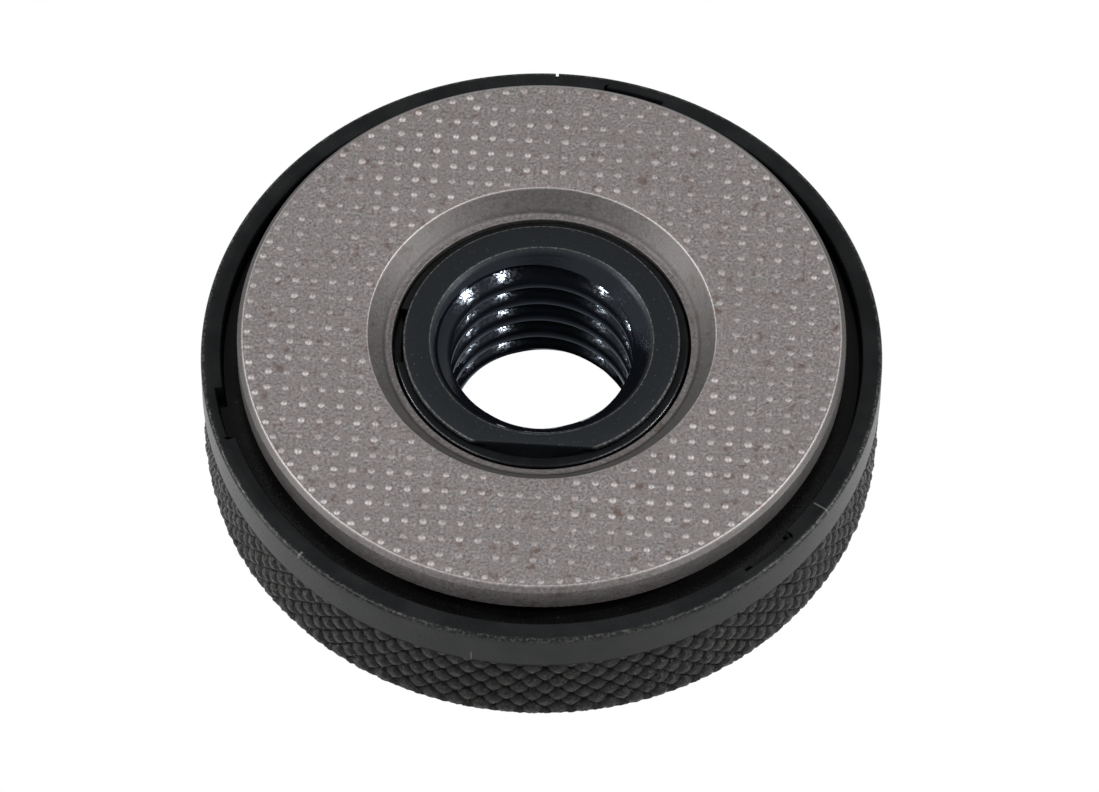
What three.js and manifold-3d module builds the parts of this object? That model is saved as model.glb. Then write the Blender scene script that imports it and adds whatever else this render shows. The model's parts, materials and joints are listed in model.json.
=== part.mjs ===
// A quick-clamping flange nut for the M14 spindle of a disc grinder.
//
// The threaded hub screws onto the spindle and the pressure disc bears on the grinding disc. Balls
// are wedged between the hub's race and a cone under the pressure disc, and the cam ring inside the
// knurled ring keeps them there. Turning the knurled ring in the loosening direction brings deeper
// pockets over the balls. They run outwards, and the pressure disc drops and lets go.
//
// Millimetres and degrees. +Z leaves the clamping face. The origin is on the spindle axis, in the
// plane of the back face. The flat on the hub's boss faces -Y.

import * as THREE from "three";
import { mergeVertices } from "three/addons/utils/BufferGeometryUtils.js";
import Module from "manifold-3d";

const wasm = await Module();
wasm.setup();

// ---- Driving dimensions ----

const OUTER_R = 22.7; // the nut is 45.4 across
const HEIGHT = 12;
const RELEASE_DEG = 30; // turn of the knurled ring from clamped to free
const DISC_TRAVEL = 0.6; // drop of the pressure disc over that turn
const BALL_TRAVEL = 1.0; // outward run of each ball over that turn
const BALL_COUNT = 6;
const BALL_R = 2;
const BALL_RING_R = 13.6; // the balls' centres, clamped
const STOP_COUNT = 3; // stop pins, each with its own return spring

const THREAD_PITCH = 2; // M14 x 2, right-hand
const THREAD_MAJOR_R = 7;
const THREAD_MINOR_R = 6.06;

const RUNNING_GAP = 0.03; // between a ball and what it runs on
const LOOSE_GAP = 0.1; // between coaxial pieces that turn or slide
const SEAT_GAP = 0.05; // between pieces that sit on each other
const SLIDE_GAP = 0.15; // between the pressure disc's bore and the boss
const PAST = 1; // how far a cutter runs past what it cuts
const SEGMENTS = 60; // round a full turn, on every turned piece
const THREAD_STEPS = 30; // round a full turn of the thread
const BALL_SEGMENTS = 16;

// ---- Heights, from the back face up ----

const LIP_TOP = 1.5; // the knurled ring's inward lip
const FLANGE_BOTTOM = 2.1;
const FLANGE_TOP = 3.5;
const RACE_TOP = 4.2;
const CAM_BOTTOM = 4.3;
const CAM_TOP = 8.1;
const COVER_BOTTOM = 8.2;
const COVER_TOP = 8.65;
const SPRING_SEAT = 9; // the ledge in the pressure disc that the wave spring lies on
const RIM_TOP = 9.7;
const BOSS_TOP = 11;
const DISC_EDGE_BOTTOM = 9.88;
const RECESS_FLOOR = 10.62; // of the recess in the clamping face, round the boss
const BALL_Z = RACE_TOP + RUNNING_GAP + BALL_R;
const CAGE_TOP = BALL_Z - 0.3;
const FLAT_BOTTOM = RACE_TOP + 0.7;

// ---- Radii, from the spindle axis out ----

const BOSS_R = 9.22;
const BOSS_FLAT = 8.25; // distance of the boss's flat from the axis
const SNAP_SEAT_R = 8.85; // bottom of the snap ring's groove
const SNAP_OUTER_R = 9.8;
const RACE_INNER_R = 10.5;
const RACE_OUTER_R = 15.3;
const HUB_BACK_R = 18.1;
const HUB_FLANGE_R = 19.2;
const RING_BORE_R = 19.5;
const RING_LIP_R = 18.4;
const RIM_INNER_R = 21.35;
const COVER_INNER_R = 16.8;
const CAM_LAND_R = 14.9; // the cam ring's bore, between the pockets
const STOP_RING_R = 17.7; // the stop pins and the return springs
const DISC_R = 20.23;
const RECESS_R = 11.6;
const RECESS_FLOOR_R = 10.45;
const SEAT_R = 9.95; // the wave spring's seat in the pressure disc
const SKIRT_R = 10.3; // the pressure disc's lowest edge, where its cone starts

// ---- Edges ----

const BACK_CHAMFER = 0.4; // the hub's back edge
const BOSS_CHAMFER = 0.15;
const DISC_CHAMFER = 0.38;
const KNURL_CHAMFER = 0.35; // the knurled ring's back edge
const RIM_BEVEL = 0.3;

// ---- Snap ring, notches and small features ----

const SNAP_BOTTOM = 9.75;
const SNAP_TOP = 10.6;
const SNAP_GAP_DEG = 26;
const NOTCH_COUNT = 3;
const NOTCH_FIRST_DEG = 77;
const NOTCH_WIDTH_DEG = 11;
const NOTCH_DEPTH = 0.52;
const TAB_FROM_DEG = -3; // a tab's ends, from the middle of its notch
const TAB_TO_DEG = 5.1;
const MARK_DEG = 91; // the small nick in the rim
const MARK_WIDTH = 0.16;
const MARK_DEPTH = 0.5;
const SEAL_R = 18.58; // the back seal's centre line
const SEAL_Z = 0.8;
const SEAL_SECTION_R = 0.33;
const SEAL_GROOVE_R = 19.05;
const SEAL_GROOVE_HALF = 0.35;
const SPANNER_PCD = 30; // two-pin spanner holes in the back
const SPANNER_HOLE_R = 2.15;
const SPANNER_DEPTH = 2.4;
const STOP_PIN_R = 0.5;
const STOP_PIN_BOTTOM = 2.45;
const STOP_PIN_TOP = 5.8;
const STOP_SLOT_HALF = 0.65;
const STOP_SLOT_TOP = 6.0;
const SPRING_SOLID_DEG = 20; // arc left to a return spring when the ring is fully turned

const rad = THREE.MathUtils.degToRad;
const STOP_PIN_HALF_DEG = THREE.MathUtils.radToDeg(STOP_SLOT_HALF / STOP_RING_R);

// ---- Solids ----

// A closed three.js geometry as a solid that can be joined and cut.
function solid(geometry) {
  const bare = geometry.clone();
  bare.deleteAttribute("normal");
  bare.deleteAttribute("uv");
  const merged = mergeVertices(bare, 1e-4);
  const mesh = new wasm.Mesh({
    numProp: 3,
    vertProperties: merged.attributes.position.array,
    triVerts: new Uint32Array(merged.index.array),
  });
  return new wasm.Manifold(mesh);
}

// A solid as a flat-shaded three.js geometry.
function geometryOf(manifold) {
  const mesh = manifold.getMesh();
  const indexed = new THREE.BufferGeometry();
  indexed.setAttribute("position", new THREE.BufferAttribute(mesh.vertProperties, 3));
  indexed.setIndex(new THREE.BufferAttribute(mesh.triVerts, 1));
  const geometry = indexed.toNonIndexed();
  geometry.computeVertexNormals();
  return geometry;
}

function cutAll(body, cutters) {
  return cutters.reduce((left, cutter) => left.subtract(solid(cutter)), body);
}

// A closed outline of [radius, height] corners turned about Z. The corners run anticlockwise with
// the radius to the right and the height up.
function turned(corners, segments = SEGMENTS) {
  const outline = corners.map(([r, z]) => new THREE.Vector2(r, z));
  outline.push(outline[0].clone());
  return new THREE.LatheGeometry(outline, segments).rotateX(Math.PI / 2);
}

// A round bar along Z from one height to another, at a place in plan.
function bar(radius, bottom, top, x, y, segments) {
  return new THREE.CylinderGeometry(radius, radius, top - bottom, segments)
    .rotateX(Math.PI / 2)
    .translate(x, y, (bottom + top) / 2);
}

function block([x0, y0, z0], [x1, y1, z1]) {
  return new THREE.BoxGeometry(x1 - x0, y1 - y0, z1 - z0).translate(
    (x0 + x1) / 2,
    (y0 + y1) / 2,
    (z0 + z1) / 2,
  );
}

// A plan outline of Vector2 points raised from one height to another.
function raised(points, bottom, top, holes = []) {
  const shape = new THREE.Shape(points);
  holes.forEach((hole) => shape.holes.push(new THREE.Path(hole)));
  const settings = { depth: top - bottom, bevelEnabled: false };
  return new THREE.ExtrudeGeometry(shape, settings).translate(0, 0, bottom);
}

function polar(radius, degrees) {
  const angle = rad(degrees);
  return new THREE.Vector2(radius * Math.cos(angle), radius * Math.sin(angle));
}

// Points on a circle about the axis, or along a spiral if the radius changes.
function arc(fromDeg, toDeg, steps, fromRadius, toRadius = fromRadius) {
  return Array.from({ length: steps + 1 }, (_, i) => {
    const share = i / steps;
    const radius = fromRadius + (toRadius - fromRadius) * share;
    return polar(radius, fromDeg + (toDeg - fromDeg) * share);
  });
}

// Points on a half circle about a centre in plan, starting in the direction startDeg.
function halfCircle(centre, radius, startDeg, steps) {
  return arc(startDeg, startDeg + 180, steps, radius).map((p) => p.add(centre));
}

// ---- Thread ----

// The hole to tap, with a countersink at each end, in the thread's own steps round the axis.
function tappingHole() {
  const frontR = THREAD_MAJOR_R + 0.6;
  const backR = THREAD_MINOR_R + 0.6;
  return turned(
    [
      [0, -PAST],
      [backR + PAST, -PAST],
      [THREAD_MINOR_R, backR - THREAD_MINOR_R],
      [THREAD_MINOR_R, BOSS_TOP - (frontR - THREAD_MINOR_R)],
      [frontR + PAST, BOSS_TOP + PAST],
      [0, BOSS_TOP + PAST],
    ],
    THREAD_STEPS,
  );
}

// The groove of the internal thread, as a trapezoid swept up a right-hand helix.
function threadCutter(bottom, top) {
  const inner = THREAD_MINOR_R - 0.3;
  const outerHalf = THREAD_PITCH / 16;
  const innerHalf = outerHalf + (THREAD_MAJOR_R - inner) * Math.tan(rad(30));
  const section = [
    [inner, -innerHalf],
    [THREAD_MAJOR_R, -outerHalf],
    [THREAD_MAJOR_R, outerHalf],
    [inner, innerHalf],
  ];
  const steps = Math.round(((top - bottom) / THREAD_PITCH) * THREAD_STEPS);
  const positions = [];
  for (let i = 0; i <= steps; i++) {
    const turns = i / THREAD_STEPS;
    section.forEach(([radius, height]) => {
      const p = polar(radius, 360 * turns);
      positions.push(p.x, p.y, bottom + turns * THREAD_PITCH + height);
    });
  }
  const index = [0, 1, 2, 0, 2, 3];
  for (let i = 0; i < steps; i++) {
    for (let side = 0; side < 4; side++) {
      const a = 4 * i + side;
      const b = 4 * i + ((side + 1) % 4);
      index.push(a, a + 4, b, b, a + 4, b + 4);
    }
  }
  const end = 4 * steps;
  index.push(end, end + 2, end + 1, end, end + 3, end + 2);
  const geometry = new THREE.BufferGeometry();
  geometry.setAttribute("position", new THREE.Float32BufferAttribute(positions, 3));
  geometry.setIndex(index);
  return geometry;
}

// ---- Hub and what is fixed to it ----

function threadedHub() {
  const body = turned([
    [THREAD_MINOR_R - PAST, 0],
    [HUB_BACK_R - BACK_CHAMFER, 0],
    [HUB_BACK_R, BACK_CHAMFER],
    [HUB_BACK_R, FLANGE_BOTTOM],
    [HUB_FLANGE_R, FLANGE_BOTTOM],
    [HUB_FLANGE_R, FLANGE_TOP],
    [BOSS_R, FLANGE_TOP],
    [BOSS_R, SNAP_BOTTOM - LOOSE_GAP],
    [SNAP_SEAT_R, SNAP_BOTTOM - LOOSE_GAP],
    [SNAP_SEAT_R, SNAP_TOP + LOOSE_GAP],
    [BOSS_R, SNAP_TOP + LOOSE_GAP],
    [BOSS_R, BOSS_TOP - BOSS_CHAMFER],
    [BOSS_R - BOSS_CHAMFER, BOSS_TOP],
    [THREAD_MINOR_R - PAST, BOSS_TOP],
  ]);
  const flat = block(
    [-BOSS_R - PAST, -BOSS_R - PAST, FLAT_BOTTOM],
    [BOSS_R + PAST, -BOSS_FLAT, BOSS_TOP + PAST],
  );
  const spannerHoles = [-1, 1].map((side) =>
    bar(SPANNER_HOLE_R, -PAST, SPANNER_DEPTH, (side * SPANNER_PCD) / 2, 0, 24),
  );
  const pinHoles = stopAngles().map((degrees) => {
    const p = polar(STOP_RING_R, degrees);
    const bottom = STOP_PIN_BOTTOM - SEAT_GAP;
    return bar(STOP_PIN_R + SEAT_GAP, bottom, FLANGE_TOP + PAST, p.x, p.y, 12);
  });
  const thread = threadCutter(-1.5 * THREAD_PITCH, HEIGHT + THREAD_PITCH);
  return cutAll(solid(body), [tappingHole(), thread, flat, ...spannerHoles, ...pinHoles]);
}

function stopAngles() {
  return Array.from({ length: STOP_COUNT }, (_, i) => (i * 360) / STOP_COUNT);
}

function hubRace() {
  return solid(
    turned([
      [RACE_INNER_R, FLANGE_TOP + SEAT_GAP],
      [RACE_OUTER_R, FLANGE_TOP + SEAT_GAP],
      [RACE_OUTER_R, RACE_TOP],
      [RACE_INNER_R, RACE_TOP],
    ]),
  );
}

// A star that keeps the balls apart. Each slot is open outwards, so its ball can run out.
function ballCage() {
  const slotR = BALL_R + LOOSE_GAP;
  const bridge = 0.6; // the cage's width behind a ball
  const outerR = CAM_LAND_R - 2.5 * LOOSE_GAP;
  const innerR = BALL_RING_R - slotR - bridge;
  const pitch = 360 / BALL_COUNT;
  const slotHalfDeg = THREE.MathUtils.radToDeg(Math.asin(slotR / outerR));
  const outline = ballAngles().flatMap((degrees) => [
    ...halfCircle(polar(BALL_RING_R, degrees), slotR, degrees + 90, 8).reverse(),
    ...arc(degrees + slotHalfDeg, degrees + pitch - slotHalfDeg, 4, outerR),
  ]);
  const hole = arc(0, 360, SEGMENTS, innerR).slice(0, -1).reverse();
  return solid(raised(outline, RACE_TOP + LOOSE_GAP, CAGE_TOP, [hole]));
}

function ballAngles() {
  return Array.from({ length: BALL_COUNT }, (_, i) => 30 + (i * 360) / BALL_COUNT);
}

function stopPin() {
  return solid(bar(STOP_PIN_R, STOP_PIN_BOTTOM, STOP_PIN_TOP, 0, 0, 12));
}

// The open ring that stops the pressure disc leaving the boss.
function snapRing() {
  const from = 180 + SNAP_GAP_DEG / 2;
  const to = 540 - SNAP_GAP_DEG / 2;
  const outline = [
    ...arc(from, to, SEGMENTS, SNAP_OUTER_R),
    ...arc(to, from, SEGMENTS, SNAP_SEAT_R + LOOSE_GAP),
  ];
  return solid(raised(outline, SNAP_BOTTOM, SNAP_TOP));
}

// ---- Springs ----

// The centre line of a return spring: a helix wound round an arc about the spindle axis.
class SpringPath extends THREE.Curve {
  constructor(fromDeg, toDeg, coilR, turns, height) {
    super();
    Object.assign(this, { fromDeg, toDeg, coilR, turns, height });
  }

  getPoint(share, target = new THREE.Vector3()) {
    const around = 2 * Math.PI * this.turns * share;
    const radius = STOP_RING_R + this.coilR * Math.cos(around);
    const p = polar(radius, this.fromDeg + (this.toDeg - this.fromDeg) * share);
    return target.set(p.x, p.y, this.height + this.coilR * Math.sin(around));
  }
}

// One return spring, from its stop pin to the far end of the slot in the cam ring.
function returnSpring() {
  const wireR = 0.15;
  const coilR = 0.36;
  const turns = 10;
  const clearDeg = 0.8;
  const endDeg = STOP_PIN_HALF_DEG + clearDeg;
  const farDeg = STOP_PIN_HALF_DEG + RELEASE_DEG + SPRING_SOLID_DEG - clearDeg;
  const path = new SpringPath(endDeg, farDeg, coilR, turns, (CAM_BOTTOM + STOP_SLOT_TOP) / 2);
  const wire = new THREE.Shape(arc(0, 360, 5, wireR).slice(0, -1));
  const settings = { steps: turns * 8, extrudePath: path, bevelEnabled: false };
  return solid(new THREE.ExtrudeGeometry(wire, settings));
}

// The single-turn wave spring between the pressure disc and the snap ring.
function waveSpring() {
  const waves = 3;
  const rise = 0.2;
  const thickness = 0.2;
  const middle = (SPRING_SEAT + SEAT_GAP + SNAP_BOTTOM) / 2;
  const bottom = middle - thickness / 2;
  const top = middle + thickness / 2;
  const ring = turned([
    [BOSS_R + LOOSE_GAP, bottom],
    [SEAT_R - LOOSE_GAP, bottom],
    [SEAT_R - LOOSE_GAP, top],
    [BOSS_R + LOOSE_GAP, top],
  ]);
  const places = ring.attributes.position;
  for (let i = 0; i < places.count; i++) {
    const angle = Math.atan2(places.getY(i), places.getX(i));
    places.setZ(i, places.getZ(i) + rise * Math.sin(waves * angle));
  }
  return solid(ring);
}

// ---- Pressure disc ----

// The face that bears on the grinding disc, with a cone underneath that rides on the balls. Its
// bore has a flat to match the boss, so it slides but never turns on the hub.
function pressureDisc() {
  const slope = DISC_TRAVEL / BALL_TRAVEL;
  const tilt = Math.atan(slope);
  const reach = BALL_R + RUNNING_GAP;
  const contactR = BALL_RING_R - reach * Math.sin(tilt);
  const contactZ = BALL_Z + reach * Math.cos(tilt);
  const coneHeight = (r) => contactZ + slope * (r - contactR);
  const coneRadius = (z) => contactR + (z - contactZ) / slope;
  const boreR = BOSS_R + SLIDE_GAP;
  const body = turned([
    [boreR - PAST, coneHeight(SKIRT_R)],
    [SKIRT_R, coneHeight(SKIRT_R)],
    [coneRadius(DISC_EDGE_BOTTOM), DISC_EDGE_BOTTOM],
    [DISC_R, DISC_EDGE_BOTTOM],
    [DISC_R, HEIGHT - DISC_CHAMFER],
    [DISC_R - DISC_CHAMFER, HEIGHT],
    [RECESS_R, HEIGHT],
    [RECESS_FLOOR_R, RECESS_FLOOR],
    [SEAT_R, RECESS_FLOOR],
    [SEAT_R, SPRING_SEAT],
    [boreR - PAST, SPRING_SEAT],
  ]);
  const flat = BOSS_FLAT + SLIDE_GAP;
  const halfFlatDeg = THREE.MathUtils.radToDeg(Math.acos(flat / boreR));
  const bore = raised(arc(-90 + halfFlatDeg, 270 - halfFlatDeg, SEGMENTS - 8, boreR), 0, HEIGHT);
  return solid(body).subtract(solid(bore));
}

// ---- Knurled ring and what turns with it ----

function knurledRing() {
  const body = turned([
    [RING_LIP_R, 0],
    [OUTER_R - KNURL_CHAMFER, 0],
    [OUTER_R, KNURL_CHAMFER],
    [OUTER_R, RIM_TOP - RIM_BEVEL],
    [OUTER_R - RIM_BEVEL, RIM_TOP],
    [RIM_INNER_R, RIM_TOP],
    [RIM_INNER_R, COVER_BOTTOM - SEAT_GAP],
    [RING_BORE_R, COVER_BOTTOM - SEAT_GAP],
    [RING_BORE_R, LIP_TOP],
    [RING_LIP_R, LIP_TOP],
    [RING_LIP_R, SEAL_Z + SEAL_GROOVE_HALF],
    [SEAL_GROOVE_R, SEAL_Z + SEAL_GROOVE_HALF],
    [SEAL_GROOVE_R, SEAL_Z - SEAL_GROOVE_HALF],
    [RING_LIP_R, SEAL_Z - SEAL_GROOVE_HALF],
  ]);
  const mark = block(
    [-MARK_WIDTH / 2, OUTER_R - MARK_DEPTH, RIM_TOP - MARK_DEPTH],
    [MARK_WIDTH / 2, OUTER_R + PAST, RIM_TOP + PAST],
  ).rotateZ(rad(MARK_DEG - 90));
  return cutAll(solid(body), [...rimNotches(), mark]);
}

function notchAngles() {
  return Array.from({ length: NOTCH_COUNT }, (_, i) => NOTCH_FIRST_DEG + (i * 360) / NOTCH_COUNT);
}

// The notches in the rim that hold the cover's tabs.
function rimNotches() {
  const outer = RIM_INNER_R + NOTCH_DEPTH;
  return notchAngles().map((degrees) => {
    const from = degrees - NOTCH_WIDTH_DEG / 2;
    const to = degrees + NOTCH_WIDTH_DEG / 2;
    const outline = [...arc(from, to, 4, outer), ...arc(to, from, 4, RIM_INNER_R - PAST / 2)];
    return raised(outline, COVER_BOTTOM - SEAT_GAP, RIM_TOP + PAST);
  });
}

// The flat ring that closes the ball chamber, with a tab in each notch of the rim. A tab is
// narrower than its notch and lies against the notch's anticlockwise end.
function coverWasher() {
  const outerR = RIM_INNER_R - LOOSE_GAP;
  const pitch = 360 / NOTCH_COUNT;
  const outline = notchAngles().flatMap((degrees) => [
    ...arc(degrees + TAB_FROM_DEG, degrees + TAB_TO_DEG, 3, outerR + NOTCH_DEPTH),
    ...arc(degrees + TAB_TO_DEG, degrees + pitch + TAB_FROM_DEG, 18, outerR),
  ]);
  const hole = arc(0, 360, SEGMENTS, COVER_INNER_R).slice(0, -1).reverse();
  return solid(raised(outline, COVER_BOTTOM, COVER_TOP, [hole]));
}

// The hardened ring that holds the balls in. A ball's pocket follows the path of the ball as seen
// from the turning ring, and a slot underneath takes each stop pin and its return spring.
function camRing() {
  const body = turned([
    [CAM_LAND_R, CAM_BOTTOM],
    [RING_BORE_R - LOOSE_GAP, CAM_BOTTOM],
    [RING_BORE_R - LOOSE_GAP, CAM_TOP],
    [CAM_LAND_R, CAM_TOP],
  ]);
  return cutAll(solid(body), [...ballAngles().map(ballPocket), ...stopAngles().map(stopSlot)]);
}

function ballPocket(degrees) {
  const reach = BALL_R + 2 * RUNNING_GAP;
  const freeRingR = BALL_RING_R + BALL_TRAVEL;
  const free = degrees + RELEASE_DEG;
  const clampedEnd = halfCircle(polar(BALL_RING_R, degrees), reach, degrees - 180, 16);
  const freeEnd = halfCircle(polar(freeRingR, free), reach, free, 16);
  const wall = arc(degrees, free, 10, BALL_RING_R + reach, freeRingR + reach).slice(1, -1);
  return raised([...clampedEnd, ...wall, ...freeEnd], CAM_BOTTOM - PAST, CAM_TOP + PAST);
}

function stopSlot(degrees) {
  const from = degrees;
  const to = degrees + RELEASE_DEG + SPRING_SOLID_DEG + STOP_PIN_HALF_DEG;
  const outline = [
    ...arc(from - STOP_PIN_HALF_DEG, to, 10, STOP_RING_R + STOP_SLOT_HALF),
    ...arc(to, from - STOP_PIN_HALF_DEG, 10, STOP_RING_R - STOP_SLOT_HALF),
  ];
  return raised(outline, CAM_BOTTOM - PAST, STOP_SLOT_TOP);
}

// The bearing washer between the hub's flange and the knurled ring's lip.
function thrustWasher() {
  return solid(
    turned([
      [RING_LIP_R - SLIDE_GAP, LIP_TOP + SEAT_GAP],
      [RING_BORE_R - LOOSE_GAP, LIP_TOP + SEAT_GAP],
      [RING_BORE_R - LOOSE_GAP, FLANGE_BOTTOM - SEAT_GAP],
      [RING_LIP_R - SLIDE_GAP, FLANGE_BOTTOM - SEAT_GAP],
    ]),
  );
}

// The rubber ring in the lip that keeps grinding dust out of the back.
function backSeal() {
  const section = arc(0, 360, 8, SEAL_SECTION_R).slice(0, -1);
  return solid(turned(section.map((p) => [SEAL_R + p.x, SEAL_Z + p.y])));
}

// ---- Assembly ----

function material(color, roughness, metalness) {
  return new THREE.MeshStandardMaterial({ color, roughness, metalness });
}

const blackOxide = () => material(0x24272a, 0.45, 0.8);
const groundSteel = () => material(0x857b78, 0.5, 0.7);
const springSteel = () => material(0x3a3b3d, 0.35, 0.9);
const hardenedSteel = () => material(0x9a9c9f, 0.2, 1);
const bronze = () => material(0xa07845, 0.4, 0.9);
const nitrileRubber = () => material(0x141414, 0.9, 0);

function piece(name, manifold, finish) {
  const mesh = new THREE.Mesh(geometryOf(manifold), finish);
  mesh.name = name;
  return mesh;
}

const nut = new THREE.Group();
const hub = new THREE.Group();
const ring = new THREE.Group();
const disc = new THREE.Group();
const balls = new THREE.Group();
nut.add(hub, ring, disc, balls);

hub.add(
  piece("threaded_hub", threadedHub(), blackOxide()),
  piece("hub_race", hubRace(), hardenedSteel()),
  piece("ball_cage", ballCage(), bronze()),
  piece("hub_snap_ring", snapRing(), springSteel()),
  piece("wave_spring", waveSpring(), springSteel()),
);

ring.add(
  piece("knurled_ring", knurledRing(), blackOxide()),
  piece("cover_washer", coverWasher(), blackOxide()),
  piece("cam_ring", camRing(), hardenedSteel()),
  piece("thrust_washer", thrustWasher(), bronze()),
  piece("back_seal", backSeal(), nitrileRubber()),
);

disc.add(piece("pressure_disc", pressureDisc(), groundSteel()));

stopAngles().forEach((degrees, i) => {
  const pin = piece(`stop_pin_${i + 1}`, stopPin(), hardenedSteel());
  const place = polar(STOP_RING_R, degrees);
  pin.position.set(place.x, place.y, 0);
  const spring = piece(`return_spring_${i + 1}`, returnSpring(), springSteel());
  spring.rotation.z = rad(degrees);
  hub.add(pin, spring);
});

ballAngles().forEach((degrees, i) => {
  const sphere = solid(new THREE.SphereGeometry(BALL_R, BALL_SEGMENTS, BALL_SEGMENTS / 2));
  const ball = piece(`ball_${i + 1}`, sphere, hardenedSteel());
  const place = polar(BALL_RING_R, degrees);
  ball.position.set(place.x, place.y, BALL_Z);
  ball.rotation.z = rad(degrees);
  balls.add(ball);
});

export default nut;
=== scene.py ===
"""The looks of a quick-clamping flange nut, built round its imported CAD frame.

Every shape is worked out in millimetres, in the frame's own axes: +Z leaves the clamping face, and
the flat on the hub's boss faces -Y. A profile is a list of [radius, height, fillet] corners that
runs anticlockwise with the radius to the right and the height up, so that every face it makes
points out of the piece.
"""

import json
import math
import random

import bmesh
import bpy
from mathutils import Matrix, Vector
from mathutils.geometry import delaunay_2d_cdt


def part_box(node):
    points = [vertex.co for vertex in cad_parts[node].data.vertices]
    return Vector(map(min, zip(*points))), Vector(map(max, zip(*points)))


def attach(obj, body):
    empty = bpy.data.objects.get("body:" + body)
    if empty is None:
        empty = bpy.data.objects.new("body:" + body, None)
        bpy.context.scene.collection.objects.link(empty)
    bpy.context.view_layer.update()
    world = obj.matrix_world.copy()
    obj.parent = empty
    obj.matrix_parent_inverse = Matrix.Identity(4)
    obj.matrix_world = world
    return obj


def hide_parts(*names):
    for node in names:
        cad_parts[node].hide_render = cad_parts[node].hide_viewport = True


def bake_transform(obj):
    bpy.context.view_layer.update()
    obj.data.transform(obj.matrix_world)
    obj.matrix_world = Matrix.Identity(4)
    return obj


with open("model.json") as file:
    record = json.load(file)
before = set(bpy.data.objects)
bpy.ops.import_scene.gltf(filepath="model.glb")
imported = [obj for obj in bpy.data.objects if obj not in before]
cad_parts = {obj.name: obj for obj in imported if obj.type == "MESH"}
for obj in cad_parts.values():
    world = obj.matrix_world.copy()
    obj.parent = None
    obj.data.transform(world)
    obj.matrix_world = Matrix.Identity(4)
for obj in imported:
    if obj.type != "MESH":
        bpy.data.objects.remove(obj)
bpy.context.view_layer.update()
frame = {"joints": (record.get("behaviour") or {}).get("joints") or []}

MM = 0.001


def span(node):
    """The lowest and highest corner of a CAD node, in millimetres."""
    low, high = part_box(node)
    return low / MM, high / MM


def joint(name):
    return next(j for j in frame["joints"] if j["name"] == name)


# ---- Sizes that the frame gives ----

RING_HIGH = span("knurled_ring")[1]
HUB_HIGH = span("threaded_hub")[1]
DISC_LOW, DISC_HIGH = span("pressure_disc")
SNAP_LOW, SNAP_HIGH = span("hub_snap_ring")
COVER_LOW, COVER_HIGH = span("cover_washer")
CAM_LOW, CAM_HIGH = span("cam_ring")
RACE_LOW, RACE_HIGH = span("hub_race")
CAGE_LOW, CAGE_HIGH = span("ball_cage")
THRUST_LOW, THRUST_HIGH = span("thrust_washer")
SEAL_LOW, SEAL_HIGH = span("back_seal")
WAVE_LOW, WAVE_HIGH = span("wave_spring")
PIN_LOW, PIN_HIGH = span("stop_pin_1")
BALL_LOW, BALL_HIGH = span("ball_1")

OUTER_R = RING_HIGH.x
RIM_TOP = RING_HIGH.z
DISC_R = DISC_HIGH.x
HEIGHT = DISC_HIGH.z
BOSS_TOP = HUB_HIGH.z
HUB_FLANGE_R = HUB_HIGH.x
BALL_R = (BALL_HIGH.z - BALL_LOW.z) / 2
RELEASE_DEG = abs(joint("ring_turn")["range_deg"][0])
DISC_TRAVEL = abs(joint("disc_slide")["range_m"][0]) / MM
BALL_TRAVEL = abs(joint("ball_1_run")["range_m"][1]) / MM

# ---- Sizes inside the pieces ----

BOSS_R = 9.22
BOSS_FLAT = 8.25
FLAT_BOTTOM = 4.9
SNAP_SEAT_R = 8.85
SNAP_GAP_DEG = 26
HUB_BACK_R = 18.1
FLANGE_BOTTOM = 2.1
FLANGE_TOP = 3.5
THREAD_PITCH = 2
THREAD_MAJOR_R = 7
THREAD_MINOR_R = 6.06
THREAD_START = -1  # height of the middle of a groove at 0 degrees
FRONT_SINK_R = 7.45
BACK_SINK_R = 6.66
SPANNER_PCD = 30
SPANNER_HOLE_R = 2.15
SPANNER_DEPTH = 2.4

RING_BORE_R = 19.5
RING_LIP_R = 18.4
LIP_TOP = 1.5
RIM_INNER_R = 21.35
SEAL_GROOVE_R = 19.05
KNURL_TOP = 6.6
KNURL_LINES = 82
KNURL_PERIODS = 4
KNURL_DEPTH = 0.46
KNURL_FINE = 12  # vertices in each period, both ways
KNURL_ROUGH = 0.06
KNURL_RUN_OUT = 0.9
FLAT_CREST = 0.6
BACK_CHAMFER = 0.5
RIM_BEVEL = 0.28
NOTCH_FIRST_DEG = 77
NOTCH_WIDTH_DEG = 11
NOTCH_DEPTH = 0.52
NOTCH_SOFT = 0.08
TAB_FROM_DEG = -3
TAB_TO_DEG = 5.1
MARK_DEG = 91
MARK_HALF_DEG = 0.2
MARK_DEPTH = 0.5

DISC_EDGE_BOTTOM = 9.88
DISC_CHAMFER = 0.36
RECESS_R = 11.6
RECESS_FLOOR_R = 10.45
RECESS_FLOOR = 10.62
SEAT_R = 9.95
SPRING_SEAT = 9
SKIRT_R = 10.3
SLIDE_GAP = 0.15
DOT_PITCH = 1.23
DOT_R = 0.25
DOT_HEIGHT = 0.11
DOT_ROW_R = 19.55
DOT_ROW_COUNT = 100

BALL_RING_R = 13.6
CAM_LAND_R = 14.9
STOP_RING_R = 17.7
STOP_SLOT_HALF = 0.65
STOP_SLOT_TOP = 6.0
SPRING_SOLID_DEG = 20
COVER_INNER_R = 16.8
RACE_INNER_R = 10.5
PRESS_GAP = 0.05
SNAP_PLAY = 0.1
SEAL_PLAY = 0.02
THIRDS = (0, 120, 240)  # the turns of the parts that come in threes

COLUMNS = 240  # round a full turn, on turned faces
SHARP_DEG = 34  # edges sharper than this stay sharp when a piece is smooth-shaded
MERGE = 1e-4  # vertices closer than this become one
LAMP_DISTANCE = 1.2  # metres


# ---- Building closed skins ----


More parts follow.
